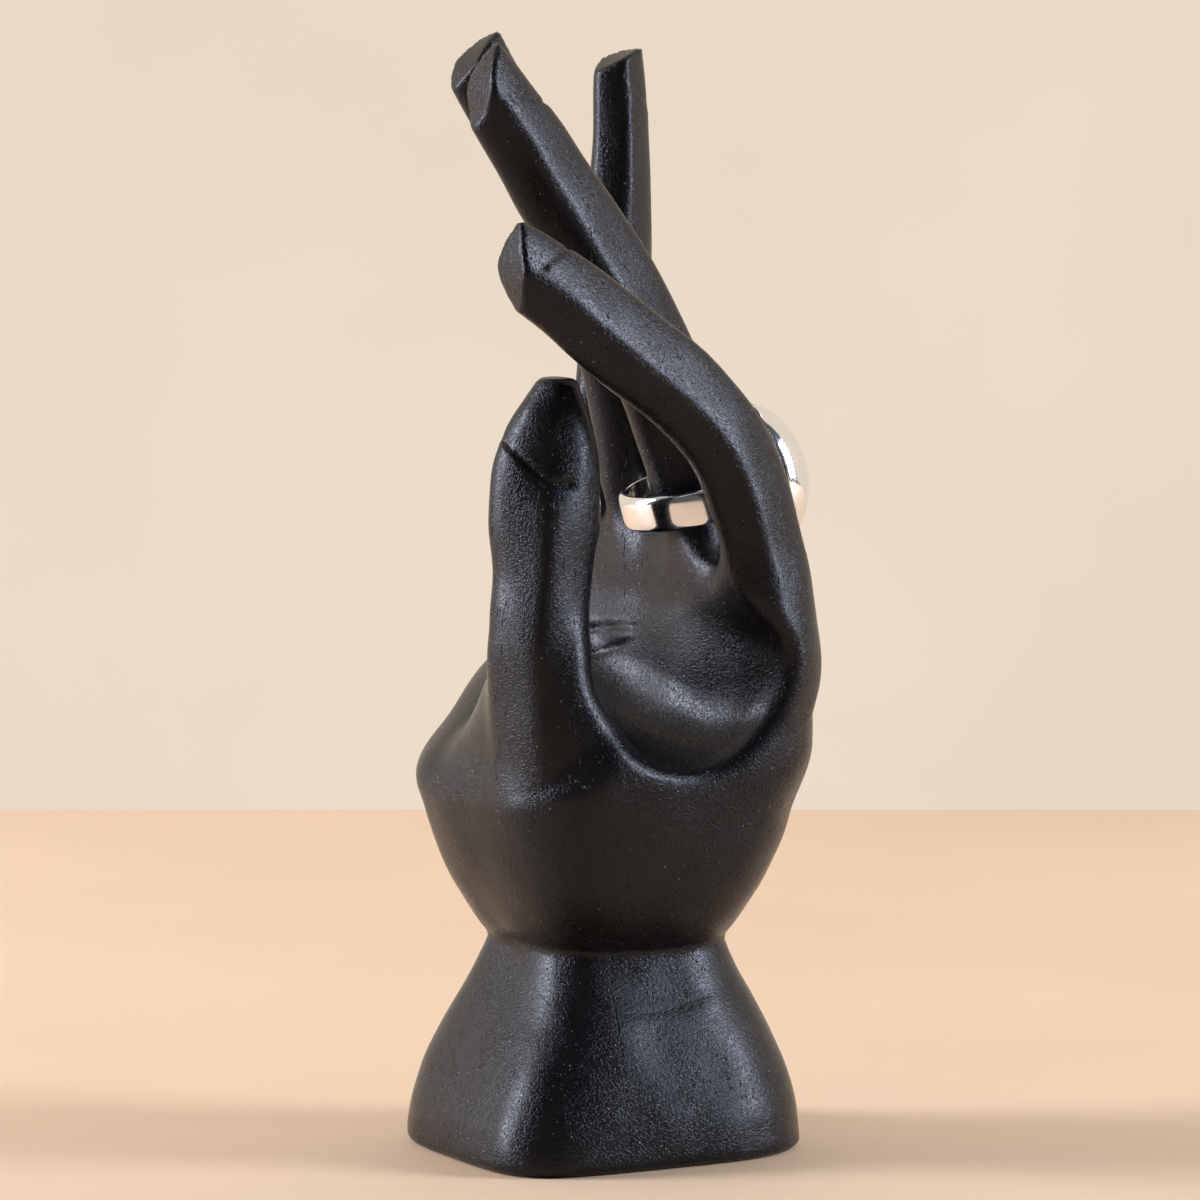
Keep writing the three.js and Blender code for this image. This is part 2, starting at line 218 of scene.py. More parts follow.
def nearest(x, z, line):
    """For each point the way along the line to the nearest place on it, and the signed distance from it."""
    start, end = line[:-1], line[1:]
    step = end - start
    length = np.hypot(step[:, 0], step[:, 1])
    dx = x[..., None] - start[:, 0]
    dz = z[..., None] - start[:, 1]
    t = np.clip((dx * step[:, 0] + dz * step[:, 1]) / length**2, 0, 1)
    away = np.hypot(dx - t * step[:, 0], dz - t * step[:, 1])
    best = np.argmin(away, axis=-1)
    side = np.sign(dx * step[:, 1] - dz * step[:, 0])
    pick = lambda a: np.take_along_axis(a, best[..., None], -1)[..., 0]
    return (best + pick(t)) / len(step), pick(away) * pick(side)


def digit_field(out, across, thick, broad, sink):
    """How far a point lies outside a digit's section, out from its centre line and across it. The sum of
    two softened lengths is a rhombus, and sink moves its side ridges towards the pad."""
    whole = np.sqrt(1 + RIDGE**2) + FULLNESS
    widen = np.sqrt((whole - RIDGE) ** 2 - FULLNESS**2)
    out = out + sink * (np.sqrt((across / broad) ** 2 + 0.04) - 0.2)
    a = np.sqrt((out / thick) ** 2 + RIDGE**2)
    b = np.sqrt((across * widen / broad) ** 2 + FULLNESS**2)
    steep = np.hypot(out / thick**2 / a, across * (widen / broad) ** 2 / b)
    return (a + b - whole) / np.maximum(steep, 0.55 / thick)


def half_plane(x, z, at, lean):
    """The side of a slanting flat that is cut away: it passes through x, z and leans back."""
    return (at[1] - z) * -np.sin(lean) - (x - at[0]) * np.cos(lean)


# Fingers: name, place across the hand, rows of the centre line, flat at the tip, its lean, nail length.
FINGERS = (
    ("index", -23.3, [
        (13.2, 54, 3.0, 2.4), (13.7, 66, 5.5, 4.3), (12.4, 77, 5.85, 4.4), (10.0, 86, 6.1, 4.3),
        (6.8, 94.5, 6.2, 4.3), (0.8, 102.2, 6.0, 4.3), (-10.5, 110.7, 6.1, 4.3), (-20.3, 117.8, 5.75, 4.1),
        (-31.2, 124.6, 4.8, 3.4),
    ], (-27.7, 122.6), 5, 9.2),
    ("middle", -7.8, [
        (13.0, 60, 4.6, 3.4), (12.4, 72, 6.3, 4.4), (10.9, 87, 7.6, 4.7), (9.4, 93, 7.0, 4.6),
        (6.0, 101.2, 6.6, 4.4), (-2.5, 117.3, 6.4, 4.3), (-13.1, 131.9, 6.0, 4.2), (-18.9, 139.9, 5.5, 4.0),
        (-27.4, 150.4, 4.7, 3.4),
    ], (-23.2, 147.0), 23, 11.6),
    ("third", 7.7, [
        (13.4, 60, 4.6, 3.4), (12.6, 74, 6.3, 4.5), (10.4, 90, 6.2, 4.4), (6.4, 107, 5.7, 4.3),
        (-3.8, 129, 5.2, 4.3), (-10.3, 139.1, 5.0, 4.0), (-18.1, 151.6, 5.1, 3.4),
    ], (-16.6, 148.7), 42, 11.0),
    ("little", 23.2, [
        (13.4, 62, 3.0, 1.4), (12.8, 74, 5.8, 4.2), (13.2, 90, 5.6, 4.2), (15, 110, 5.2, 4.2),
        (15.9, 132, 4.6, 3.9), (15.6, 152, 3.6, 3.0),
    ], (15.6, 148.4), 66, 9.4),
)
# The flat at a fingertip is a little crowned: its edge's rounding, how steeply it falls away from its
# middle, and how far out that goes on.
TIP_EDGE = 0.35
TIP_CROWN = 0.04
TIP_HALF = 6.0
# The nail: the half width that its root is drawn for, the groove round it and the depth of its plate.
NAIL_HALF = 4.3
NAIL_GROOVE = 0.30
NAIL_GROOVE_WIDTH = 0.42
NAIL_PLATE = 0.14
LINE_STEPS = 44


def finger_line(rows):
    """The finger's rows as an array, the way along the line at each row, and the line in short steps."""
    rows = np.array(rows, float)
    knots = np.linspace(0, 1, len(rows))
    fine = np.linspace(0, 1, LINE_STEPS + 1)
    line = np.stack([through(fine, knots, rows[:, 0]), through(fine, knots, rows[:, 1])], 1)
    return rows, knots, line


def finger_field(x, y, z, place, rows, tip, lean, nail):
    """One finger: the digit round its line, a nail cut into its back, and the crowned flat at its tip."""
    rows, knots, line = finger_line(rows)
    way, out = nearest(x, z, line)
    thick = through(way, knots, rows[:, 2])
    broad = through(way, knots, rows[:, 3])
    across = y - place
    shape = digit_field(out, across, thick, broad, thick * (0.36 - 0.12 * smooth_step(0.6, 0.9, way)))
    flat = half_plane(x, z, tip, np.radians(lean))
    along_flat = (x - tip[0]) * np.sin(np.radians(lean)) + (z - tip[1]) * np.cos(np.radians(lean))
    flat = flat + TIP_CROWN * np.minimum(np.abs(along_flat), TIP_HALF) ** 2
    behind_tip = -flat / 0.91
    root = nail * (1 - (np.abs(across) / NAIL_HALF) ** 1.5)
    on_back = smooth_step(-1.5, 0.5, out)
    groove = np.exp(-(((behind_tip - root) / NAIL_GROOVE_WIDTH) ** 2))
    plate = smooth_step(0.25, -0.25, behind_tip - root)
    shape = shape + on_back * (NAIL_GROOVE * groove + NAIL_PLATE * plate)
    return cut_by(shape, flat, TIP_EDGE)


# Thumb: height, x, y, half thickness and half breadth. Its side ridge is turned towards the palm.
THUMB = np.array([
    (62, -18.8, -14.3, 8.2, 7.8),
    (68, -19.2, -14.8, 7.5, 7.2),
    (74, -19.0, -15.0, 6.7, 6.8),
    (80, -18.3, -15.0, 6.8, 6.7),
    (87, -18.0, -15.0, 7.4, 6.7),
    (93, -17.9, -15.0, 7.2, 6.5),
    (99, -17.4, -15.0, 5.9, 5.8),
    (103.5, -16.5, -15.0, 3.8, 4.8),
    (107, -15.8, -15.0, 2.0, 4.0),
])
THUMB_TOP = 106.0
# Height, then how far the thumb's front reaches out from its middle above the nail cut, where it is flat.
THUMB_FRONT = np.array([(88, 8.5), (91.5, 6.4), (95, 5.3), (100, 4.5), (104, 3.5), (107, 2.8)])
THUMB_TURN = np.radians(25)
# The thumb's nail: the height of its notch, and how deep the notch and the plate over it are cut.
THUMB_NAIL = 92.0
THUMB_NOTCH = 0.75
THUMB_PLATE = 0.35
# Height, then how far the heel's section has turned into the thumb's, and how far its far side reaches.
THUMB_SHARE = np.array([
    (44, 0, 22.6), (47, 0.01, 22.6), (50.5, 0.035, 22.6), (54, 0.11, 20.4), (57, 0.185, 16.4),
    (60, 0.26, 13.4), (64, 0.37, 11.2), (68, 0.58, 8.4), (72, 0.83, 5.0), (76, 0.965, 1.8), (80, 1, 0.0),
])


def thumb_field(x, y, z):
    """The thumb and the mound that it grows from: the heel's section, drawn over by height into level
    rhombic sections up the thumb's line, with a flatter front, a slanting nail cut and a flat on top."""
    low = joined(z, HEEL_TOP, 5.0)
    left, right, near, far = (evened(low, PALM_REACH[:, 0], PALM_REACH[:, k]) for k in (1, 2, 3, 4))
    share, drawn_in = (evened(z, THUMB_SHARE[:, 0], THUMB_SHARE[:, k]) for k in (1, 2))
    heel = level_field(x, y, z, left, right, near, np.minimum(far, drawn_in), 2.7, 0.9)
    mid_x, mid_y, thick, broad = (through(z, THUMB[:, 0], THUMB[:, k]) for k in (1, 2, 3, 4))
    dx, dy = x - mid_x, y - mid_y
    out = -dx * np.cos(THUMB_TURN) + dy * np.sin(THUMB_TURN)
    across = -dx * np.sin(THUMB_TURN) - dy * np.cos(THUMB_TURN)
    digit = digit_field(out, across, thick, broad, 0)
    shape = heel + (digit - heel) * share
    shape = cut_by(shape, across - through(z, THUMB_FRONT[:, 0], THUMB_FRONT[:, 1]), 2.4)
    on_near = smooth_step(-1.0, 1.5, across)
    rise = THUMB_NAIL + 0.95 * np.maximum(out - 0.3, 0) ** 1.03
    fade = smooth_step(-3.9, -2.6, out)
    notch = np.clip(1 - np.abs(z - rise - 0.2) / 0.75, 0, 1)
    plate = smooth_step(0, 0.8, z - rise) * smooth_step(8, 2, z - rise)
    cut = THUMB_NOTCH * notch + THUMB_PLATE * plate * smooth_step(-2.0, 0.6, out)
    shape = shape + on_near * fade * cut
    return cut_by(cut_by(shape, z - THUMB_TOP, 0.8), 44 - z, 2.0)


# Two creases of the palm: y from and to, height at both ends, the bow between, and depth.
CREASES = ((-2.0, 20.0, 70.6, 67.4, 0.8, 0.6), (-1.0, 19.0, 69.2, 63.2, 0.0, 0.5))


def palm_marks(x, y, z):
    """Grooves across the palm, deepest in the middle and run out at both ends."""
    deep = 0.0
    for start, end, low, high, bow, depth in CREASES:
        t = np.clip((y - start) / (end - start), 0, 1)
        height = low + (high - low) * t + bow * np.sin(np.pi * t)
        deep = deep + depth * np.sin(np.pi * t) ** 0.5 * np.exp(-(((z - height) / 0.55) ** 2))
    return deep * smooth_step(12, 9, x) * smooth_step(-8, -5, x)


# Waves left by the carver's knife: how many to a metre along x, y and z, where they start, and height.
WAVES = np.array([
    (61, 13, 27, 0.4, 0.045), (-23, 71, 19, 1.9, 0.045), (37, -41, 53, 3.1, 0.04),
    (17, 29, -83, 4.4, 0.035), (-97, 31, 43, 5.2, 0.03), (53, 109, -29, 0.9, 0.025),
    (127, -59, 71, 2.6, 0.02),
])


def knife_waves(x, y, z):
    """A slight unevenness: the sum of a few flat waves that cross each other."""
    total = 0.0
    for fx, fy, fz, start, height in WAVES:
        total = total + height * np.sin(2 * np.pi * MM * (fx * x + fy * y + fz * z) + start)
    return total


def wood_field(x, y, z):
    """The whole carving, in millimetres: below nought inside the wood. Palm, thumb and fingers are joined
    with fillets, the scoop is cut out of them, the palm's creases are cut in, and the cuff is joined on."""
    top = PALM_TOP[0] + (PALM_TOP[1] - PALM_TOP[0]) * smooth_step(-18, -9, y)
    palm = reach_field(x, y, z, PALM_REACH, top, 25.5, 2.7 + 0.9 * smooth_step(46, 56, z), 0.9)
    body = joined(palm, thumb_field(x, y, z), 0.05 + 2.0 * smooth_step(50, 58, z))
    for name, place, rows, tip, lean, nail in FINGERS:
        finger = finger_field(x, y, z, place, rows, tip, lean, nail)
        body = joined(body, finger, 0.05 + 6.0 * smooth_step(56, 70, z) * smooth_step(98, 88, z))
    rim = 2.8 + 5.0 * smooth_step(-22, -2, y) * smooth_step(-10, 0, x)
    body = cut_by(body, -scoop_field(x, y, z), rim)
    body = body + palm_marks(x, y, z)
    return joined(body, cuff_field(x, y, z), WAIST_ROUND) + knife_waves(x, y, z) * smooth_step(0, 3, z)


def spacing(stops):
    """Places along an axis: from each stop to the next in steps of about the size given with it."""
    parts = [
        np.arange(a, b - step / 2, (b - a) / round((b - a) / step))
        for (a, step), (b, _) in zip(stops, stops[1:])
    ]
    return np.concatenate(parts + [[stops[-1][0]]])


def skin_of(field, xs, ys, zs):
    """The surface where the field is nought. Each grid cell that it crosses gets one point, the mean of
    the crossings on the cell's edges, and each crossed edge gets a face between its four cells."""
    value = field(xs[:, None, None], ys[None, :, None], zs[None, None, :]).astype(np.float32)
    shape = np.array(value.shape)
    axes = (xs, ys, zs)
    cells, places, faces = [], [], []
    for axis in range(3):
        one, two = (axis + 1) % 3, (axis + 2) % 3
        low = np.moveaxis(value, axis, 0)[:-1]
        high = np.moveaxis(value, axis, 0)[1:]
        hit = np.argwhere((low < 0) != (high < 0))
        a, b = low[tuple(hit.T)], high[tuple(hit.T)]
        order = np.empty_like(hit)
        rest = [k for k in range(3) if k != axis]
        order[:, axis] = hit[:, 0]
        order[:, rest[0]] = hit[:, 1]
        order[:, rest[1]] = hit[:, 2]
        point = np.stack([axes[k][order[:, k]] for k in range(3)], 1)
        share = a / (a - b)
        point[:, axis] += share * (axes[axis][order[:, axis] + 1] - axes[axis][order[:, axis]])
        ring = []
        for first, second in ((-1, -1), (0, -1), (0, 0), (-1, 0)):
            cell = order.copy()
            cell[:, one] += first
            cell[:, two] += second
            ring.append(np.ravel_multi_index(tuple(cell.T), shape))
        ring = np.stack(ring, 1)
        ring[a > 0] = ring[a > 0][:, ::-1]
        cells.append(ring.ravel())
        places.append(np.repeat(point, 4, axis=0))
        faces.append(ring)
    cells = np.concatenate(cells)
    places = np.concatenate(places)
    used, which = np.unique(cells, return_inverse=True)
    count = np.bincount(which)
    points = np.stack([np.bincount(which, places[:, k]) / count for k in range(3)], 1)
    return points, np.searchsorted(used, np.concatenate(faces))


def slope_of(field, points, value, reach=0.04):
    """The field's slope at each point, from its change over a short way along x, y and z."""
    return np.stack([(field(*(points + step).T) - value) / reach for step in reach * np.eye(3)], 1)


def settled(field, points, rounds=2, longest=0.35):
    """The points moved along the field's slope towards its surface, in rounds, none of them far."""
    for _ in range(rounds):
        value = field(*points.T)
        slope = slope_of(field, points, value)
        move = -(value / np.maximum((slope**2).sum(1), 0.05))[:, None] * slope
        size = np.linalg.norm(move, axis=1, keepdims=True)
        points = points + move * np.minimum(1, longest / np.maximum(size, 1e-9))
    return points


def mesh_object(name, points, faces, smooth=True):
    """A mesh object with those points, in metres, and faces, all with the same number of corners."""
    mesh = bpy.data.meshes.new(name)
    count, corners = faces.shape
    mesh.vertices.add(len(points))
    mesh.vertices.foreach_set("co", points.astype(np.float32).ravel())
    mesh.loops.add(count * corners)
    mesh.loops.foreach_set("vertex_index", faces.astype(np.int32).ravel())
    mesh.polygons.add(count)
    mesh.polygons.foreach_set("loop_start", np.arange(0, count * corners, corners, dtype=np.int32))
    mesh.polygons.foreach_set("use_smooth", np.full(count, smooth))
    mesh.update(calc_edges=True)
    mesh.validate()
    thing = bpy.data.objects.new(name, mesh)
    bpy.context.scene.collection.objects.link(thing)
    return thing


coarser = 1.0
FINE = 0.61 * coarser
CUFF_STEP = 0.8 * coarser
points, faces = skin_of(
    wood_field,
    spacing([(-30, FINE), (29, 0)]),
    spacing([(-30, FINE), (30, 0)]),
    spacing([(-1, CUFF_STEP), (48, FINE), (153, 0)]),
)
points = settled(wood_field, points)
carved_wood = mesh_object("carved_wood_hand", points * MM, faces)


def new_material(name):
    """A material with its Principled shader, and a function that adds a node with its settings."""
    material = bpy.data.materials.new(name)
    material.use_nodes = True
    tree = material.node_tree

    def node(kind, inputs=None, **settings):
        made = tree.nodes.new(kind)
        for key, value in settings.items():
            setattr(made, key, value)
        for key, value in (inputs or {}).items():
            if isinstance(value, bpy.types.NodeSocket):
                tree.links.new(value, made.inputs[key])
            else:
                made.inputs[key].default_value = value
        return made

    return material, tree, tree.nodes["Principled BSDF"], node


def ramp(node, value, stops):
    """A colour ramp between grey levels or colours, given as places and values."""
    made = node("ShaderNodeValToRGB", {"Fac": value})
    band = made.color_ramp.elements
    while len(band) < len(stops):
        band.new(0.5)
    for element, (place, shade) in zip(band, stops):
        element.position = place
        element.color = (shade, shade, shade, 1) if np.isscalar(shade) else (*shade, 1)
    return made.outputs["Color"]


def grain_space(node, size, turn=(0, 0, 0)):
    """Object coordinates counted in features: size is a feature's length along x, y and z, in
    millimetres."""
    place = node("ShaderNodeTexCoord").outputs["Object"]
    scale = tuple(MM * length for length in size)
    inputs = {"Vector": place, "Rotation": turn, "Scale": scale}
    return node("ShaderNodeMapping", inputs, vector_type="TEXTURE").outputs["Vector"]


def noise(node, size, turn=(0, 0, 0), detail=2.0, roughness=0.5):
    """Cloudy noise whose blots have that size in millimetres."""
    space = grain_space(node, size, turn)
    inputs = {"Vector": space, "Scale": 1.0, "Detail": detail, "Roughness": roughness}
    return node("ShaderNodeTexNoise", inputs).outputs["Fac"]


def spots(node, size, core, edge):
    """One spot to each cell of that size in millimetres: white to core, and black from edge, in cells."""
    cell = node("ShaderNodeTexVoronoi", {"Vector": grain_space(node, size), "Scale": 1.0})
    return ramp(node, cell.outputs["Distance"], [(core, 1.0), (edge, 0.0)])


def greater(node, a, b):
    """The greater of two values."""
    return node("ShaderNodeMath", {0: a, 1: b}, operation="MAXIMUM").outputs[0]


def between(node, value, low, high, at_low, at_high):
    """A value drawn over from one range to another, and held at the second range's ends."""
    inputs = {"Value": value, "From Min": low, "From Max": high, "To Min": at_low, "To Max": at_high}
    return node("ShaderNodeMapRange", inputs).outputs["Result"]


def product(node, *values):
    """The values multiplied together."""
    whole = values[0]
    for value in values[1:]:
        whole = node("ShaderNodeMath", {0: whole, 1: value}, operation="MULTIPLY").outputs[0]
    return whole


def bumped(node, height, strength, depth, below=None, invert=False):
    """A bump of that depth in millimetres, laid over the one below."""
    inputs = {"Height": height, "Strength": strength, "Distance": depth * MM}
    if below is not None:
        inputs["Normal"] = below
    return node("ShaderNodeBump", inputs, invert=invert).outputs["Normal"]


def grain_line(node):
    """One open line of the grain, dotted with pores: where x less 0.26 of y is near -4 millimetres. It
    wanders a little, and it ends at the top of the heel."""
    place = node("ShaderNodeTexCoord").outputs["Object"]
    slant = node("ShaderNodeVectorMath", {0: place, 1: (1.0, -0.26, 0.0)}, operation="DOT_PRODUCT")
    wander = between(node, noise(node, (9, 9, 9)), 0.0, 1.0, 3.2 * MM, 4.8 * MM)
    away = node("ShaderNodeMath", {0: slant.outputs["Value"], 1: wander}, operation="ADD").outputs[0]
    away = node("ShaderNodeMath", {0: away}, operation="ABSOLUTE").outputs[0]
    height = node("ShaderNodeSeparateXYZ", {"Vector": place}).outputs["Z"]
    narrow = between(node, away, 0.08 * MM, 0.24 * MM, 1.0, 0.0)
    low = between(node, height, 36 * MM, 48 * MM, 1.0, 0.0)
    dots = ramp(node, noise(node, (1.2, 1.2, 0.5)), [(0.48, 0.0), (0.56, 0.85)])
    return product(node, narrow, low, dots)


# Three sets of sanding marks: the length of a mark along x, y and z, and how the set is turned.
SANDING = (
    ((0.3, 0.3, 7), (0.2, 1.25, 0.3)),
    ((0.3, 0.3, 8), (-0.3, -1.2, 0.8)),
    ((0.35, 0.35, 6), (1.3, 0.5, -0.5)),
)
PORE_COLOUR = (0.0012, 0.0012, 0.0014, 1)
SPECK_COLOUR = (0.24, 0.24, 0.25, 1)


def stained_wood():
    """Black-stained open-grained wood. Its pores are short upright dashes, denser along thin sheets of
    the grain, and they don't shine. Light specks, crossed sanding marks and a fine curl lie over it."""
    material, tree, shader, node = new_material("stained_wood")
    tone = noise(node, (16, 16, 50), detail=5.0, roughness=0.6)
    colour = ramp(node, tone, [(0.3, (0.0036, 0.0035, 0.0042)), (0.7, (0.0062, 0.006, 0.0068))])
    sheets = ramp(node, noise(node, (1.3, 14, 60), (0, 0, -0.25)), [(0.55, 0.0), (0.63, 1.0)])
    long_pores = product(node, spots(node, (0.55, 0.55, 3.4), 0.11, 0.21), sheets)
    patches = ramp(node, noise(node, (6, 6, 12)), [(0.5, 0.0), (0.62, 1.0)])
    short_pores = product(node, spots(node, (0.8, 0.8, 1.3), 0.09, 0.17), patches)
    pores = greater(node, greater(node, long_pores, short_pores), grain_line(node))
    specks = spots(node, (1.7, 1.7, 1.7), 0.04, 0.075)
    for share, other in ((pores, PORE_COLOUR), (specks, SPECK_COLOUR)):
        inputs = {"Factor": share, 6: colour, 7: other}
        colour = node("ShaderNodeMix", inputs, data_type="RGBA").outputs[2]
    tree.links.new(colour, shader.inputs["Base Color"])
    curl = noise(node, (0.45, 0.45, 0.7), detail=2.0, roughness=0.6)
    gloss = ramp(node, noise(node, (4, 4, 11), detail=4.0), [(0.3, 0.23), (0.7, 0.33)])
    tree.links.new(greater(node, gloss, pores), shader.inputs["Roughness"])

    sanding = product(node, *(
        ramp(node, noise(node, size, turn), [(0.34, 0.0), (0.46, 1.0)]) for size, turn in SANDING
    ))
    surface = bumped(node, noise(node, (0.6, 0.6, 5), detail=3.0, roughness=0.6), 0.2, 0.12)
    surface = bumped(node, curl, 0.3, 0.05, surface)
    surface = bumped(node, sanding, 0.5, 0.06, surface)
    surface = bumped(node, pores, 0.7, 0.15, surface, invert=True)
    surface = bumped(node, specks, 0.5, 0.05, surface)
    tree.links.new(surface, shader.inputs["Normal"])
    shader.inputs["Specular IOR Level"].default_value = 0.3
    # The blue specular tint is painted light: it gives the sheen the cool colour of window light.
    shader.inputs["Specular Tint"].default_value = (0.84, 0.89, 1.0, 1)
    return material


carved_wood.data.materials.append(stained_wood())
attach(carved_wood, "hand")
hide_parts("carved_hand")

# Ring band. Polished silver, a flat bore and a rounded outside, a slide fit round the middle finger.
# It hangs a little back on the finger and leans with it. Its sizes are in millimetres.
RING_CENTRE = np.array([9.6, -7.8, 89.0])
RING_LEAN = np.radians(-14)
BORE = 9.2
BAND_HALF = 2.5
BAND_THICK = 1.3
BORE_EDGE = 0.25


def leaned(points):
    """Points of the ring's own frame, turned about y by its lean and moved to its place, in metres."""
    x, y, z = points.T
    cos, sin = np.cos(RING_LEAN), np.sin(RING_LEAN)
    turned = np.stack([x * cos + z * sin, y, z * cos - x * sin], 1)
    return (turned + RING_CENTRE) * MM


def grid_faces(rows, columns, wrap_rows=False):
    """Four-cornered faces of a grid of points that closes on itself along its columns."""
    last = rows if wrap_rows else rows - 1
    r, c = np.meshgrid(np.arange(last), np.arange(columns), indexing="ij")
    r2 = (r + 1) % rows
    c2 = (c + 1) % columns
    corners = [r * columns + c, r * columns + c2, r2 * columns + c2, r2 * columns + c]
    return np.stack(corners, -1).reshape(-1, 4)


def band():
    """A closed D-shaped profile carried round a circle: a superellipse outside, a flat with eased edges
    inside."""
    rows, columns = 40, 160
    turn = np.linspace(0, 2 * np.pi, columns, endpoint=False)
    t = np.linspace(-np.pi, np.pi, rows, endpoint=False)
    side = BAND_HALF * np.sign(np.sin(t)) * np.abs(np.sin(t)) ** 0.55
    outwards = (BAND_THICK - BORE_EDGE) * np.abs(np.cos(t)) ** 0.75
    inwards = -BORE_EDGE * np.abs(np.cos(t)) ** 0.3
    radius = BORE + BORE_EDGE + np.where(np.cos(t) > 0, outwards, inwards)
    radius = np.broadcast_to(radius[:, None], (rows, columns))
    side = np.broadcast_to(side[:, None], (rows, columns))
    points = np.stack([radius * np.cos(turn), radius * np.sin(turn), side], -1)
    return points.reshape(-1, 3), grid_faces(rows, columns, wrap_rows=True)


def polished_silver():
    """Polished silver with fine hairlines and a faint cloud of tarnish. Its colour is tinted blue, a
    painted cool reflection that offsets the warm wall it mirrors.
    """
    material, tree, shader, node = new_material("polished_silver")
    cloud = noise(node, (4, 4, 4), detail=3.0)
    # The blue in both tints is painted light: a cool reflection that offsets the warm wall the silver
    # mirrors.
    colour = ramp(node, cloud, [(0.3, (0.86, 0.88, 0.92)), (0.7, (0.93, 0.94, 0.97))])
    tree.links.new(colour, shader.inputs["Base Color"])
    hairlines = noise(node, (0.3, 0.3, 5), (0.3, 0.4, 0.2))
    tree.links.new(ramp(node, hairlines, [(0.3, 0.07), (0.75, 0.15)]), shader.inputs["Roughness"])
    tree.links.new(bumped(node, hairlines, 0.05, 0.02), shader.inputs["Normal"])
    shader.inputs["Metallic"].default_value = 1.0
    return material


silver = polished_silver()
points, faces = band()
ring_band = mesh_object("ring_band", leaned(points), faces)
ring_band.data.materials.append(silver)
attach(ring_band, "ring")
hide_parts("ring_shank")

# Dome. A hollow oval cap of thin polished silver, soldered across the band on the back of the finger.
DOME_HALF = (7.1, 9.0, 10.25)
DOME_WALL = 1.2
SADDLE = 10.8


def weld(thing):
    """Merges the points that lie on each other at the cap's poles, and drops the faces that close up."""
    work = bmesh.new()
    work.from_mesh(thing.data)
    bmesh.ops.remove_doubles(work, verts=work.verts, dist=1e-6)
    bmesh.ops.dissolve_degenerate(work, edges=work.edges, dist=1e-7)
    work.to_mesh(thing.data)
    work.free()


def dome():
    """An oval cap of even wall, for each direction from its middle: outside it is the oval, and where
    the oval lies within the band's own cylinder the cap stops at that cylinder. Its inside is the same
    less the wall, and a rolled rim joins the two."""
    rows, columns = 44, 128
    turn = np.linspace(0, 2 * np.pi, columns, endpoint=False)
    half_x, half_y, half_z = DOME_HALF
    rim_y = half_y * np.cos(turn)
    seat = np.sqrt(np.maximum(SADDLE**2 - rim_y**2, 0)) - BORE
    low = np.arcsin(np.clip(seat / half_x, 0.03, 0.6))
    shells = []
    for wall, spread in ((0.0, np.linspace(1, 0, rows)), (DOME_WALL, np.linspace(0, 1, rows))):
        angle = np.pi / 2 - (np.pi / 2 - low[None, :]) * spread[:, None]
        ring = np.cos(angle)
        shells.append(np.stack([
            BORE + (half_x - wall) * np.sin(angle),
            (half_y - wall) * np.cos(turn) * ring,
            (half_z - wall) * np.sin(turn) * ring,
        ], -1))
    points = np.concatenate(shells).reshape(-1, 3)
    return points, grid_faces(2 * rows, columns, wrap_rows=True)


points, faces = dome()
ring_cap = mesh_object("ring_cap", leaned(points), faces)
weld(ring_cap)
ring_cap.data.materials.append(silver)
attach(ring_cap, "ring")
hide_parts("ring_dome")

# Stage: a plain pale floor and a plain pale wall close behind, two soft lamps at the sides and a weak one
# above. The wall has one side only, so that it doesn't hide the holder from behind, and the world beyond
# it looks like the wall to the camera.
FLOOR_REACH = 3.0
WALL_BEHIND = 0.37
WALL_HEIGHT = 2.4
FLOOR_COLOUR = (0.75, 0.56, 0.38)
WALL_COLOUR = (0.84, 0.72, 0.585)
TOWARDS = Vector((EYE.x, EYE.y, 0)).normalized()
RIGHTWARDS = Vector((-TOWARDS.y, TOWARDS.x, 0))


def mottled(node, colour):
    """A colour with a faint cloud of a slightly darker one."""
    darker = tuple(0.95 * c for c in colour)
    return ramp(node, noise(node, (110, 110, 110), detail=4.0), [(0.35, darker), (0.65, colour)])


def sheet(name, corners, material):
    """A flat four-cornered sheet of the stage."""
    made = mesh_object(name, np.array(corners, float), np.array([[0, 1, 2, 3]]), smooth=False)
    made.data.materials.append(material)


r = FLOOR_REACH
floor_paint, tree, shader, node = new_material("pale_floor")
tree.links.new(mottled(node, FLOOR_COLOUR), shader.inputs["Base Color"])
shader.inputs["Roughness"].default_value = 0.7
sheet("floor", [(-r, -r, 0), (r, -r, 0), (r, r, 0), (-r, r, 0)], floor_paint)

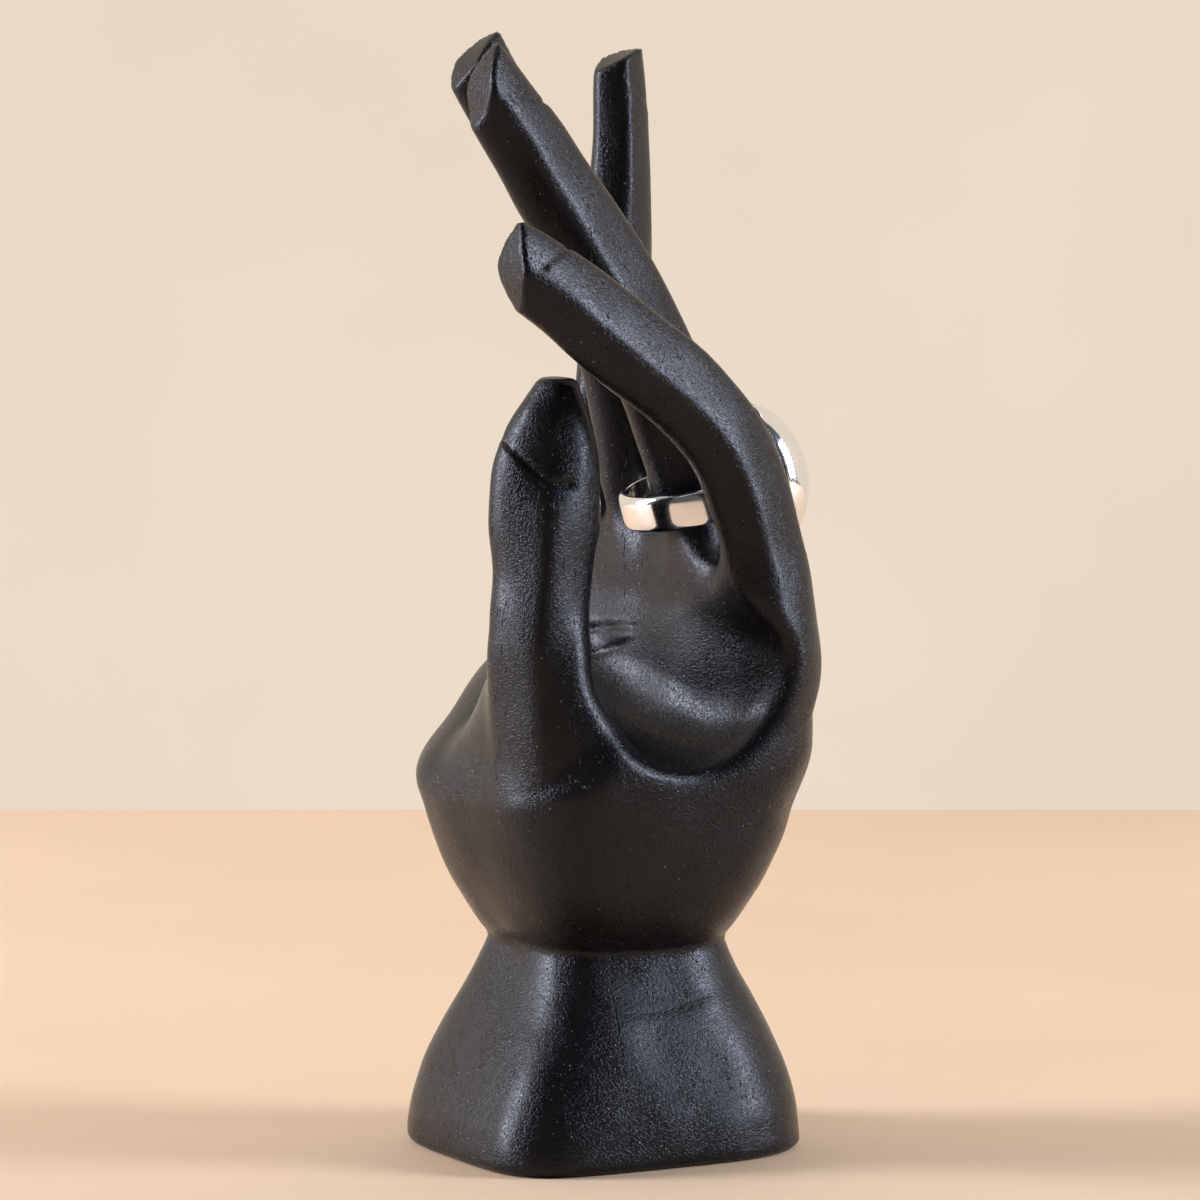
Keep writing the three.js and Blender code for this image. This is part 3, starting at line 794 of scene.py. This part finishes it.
wall_paint, tree, shader, node = new_material("pale_wall")
cream = mottled(node, WALL_COLOUR)
tree.links.new(cream, shader.inputs["Base Color"])
shader.inputs["Roughness"].default_value = 0.8
seen = node("ShaderNodeLightPath")
straight = greater(node, seen.outputs["Is Camera Ray"], seen.outputs["Is Glossy Ray"])
glow = node("ShaderNodeEmission", {"Color": cream, "Strength": 1.0})
front = node("ShaderNodeMixShader", {0: straight, 1: shader.outputs[0], 2: glow.outputs[0]})
backfacing = node("ShaderNodeNewGeometry").outputs["Backfacing"]
clear = node("ShaderNodeBsdfTransparent")
one_sided = node("ShaderNodeMixShader", {0: backfacing, 1: front.outputs[0], 2: clear.outputs[0]})
tree.links.new(one_sided.outputs[0], tree.nodes["Material Output"].inputs["Surface"])
left = -WALL_BEHIND * TOWARDS - r * RIGHTWARDS
right = -WALL_BEHIND * TOWARDS + r * RIGHTWARDS
up = Vector((0, 0, WALL_HEIGHT))
sheet("wall", [left, right, right + up, left + up], wall_paint)


def soft_lamp(name, rightwards, towards, height, size, power, colour):
    """A rectangular area lamp that faces the middle of the holder, placed as the camera sees it."""
    lamp = bpy.data.objects.new(name, bpy.data.lights.new(name, "AREA"))
    lamp.data.shape = "RECTANGLE"
    lamp.data.size, lamp.data.size_y = size
    lamp.data.energy = power
    lamp.data.color = colour
    lamp.location = rightwards * RIGHTWARDS + towards * TOWARDS + Vector((0, 0, height))
    lamp.rotation_euler = (Vector((0, 0, 0.07)) - lamp.location).to_track_quat("-Z", "Y").to_euler()
    bpy.context.scene.collection.objects.link(lamp)


soft_lamp("left_window", -0.95, 0.0, 0.40, (0.3, 0.66), 15.0, (0.89, 0.90, 1.0))
soft_lamp("right_window", 0.95, 0.12, 0.44, (0.3, 0.7), 12.0, (0.83, 0.88, 1.0))
soft_lamp("top", 0.0, -0.32, 1.15, (0.4, 0.4), 0.6, (1.0, 0.97, 0.93))

world = bpy.data.worlds.new("world")
bpy.context.scene.world = world
world.use_nodes = True
sky = world.node_tree
room = sky.nodes["Background"]
room.inputs["Color"].default_value = (0.92, 0.94, 1.0, 1)
room.inputs["Strength"].default_value = 0.1
far_wall = sky.nodes.new("ShaderNodeBackground")
far_wall.inputs["Color"].default_value = (*WALL_COLOUR, 1)
rays = sky.nodes.new("ShaderNodeLightPath")
seen_or_not = sky.nodes.new("ShaderNodeMixShader")
sky.links.new(rays.outputs["Is Camera Ray"], seen_or_not.inputs[0])
sky.links.new(room.outputs[0], seen_or_not.inputs[1])
sky.links.new(far_wall.outputs[0], seen_or_not.inputs[2])
sky.links.new(seen_or_not.outputs[0], sky.nodes["World Output"].inputs["Surface"])

bpy.context.scene.view_settings.view_transform = "Standard"
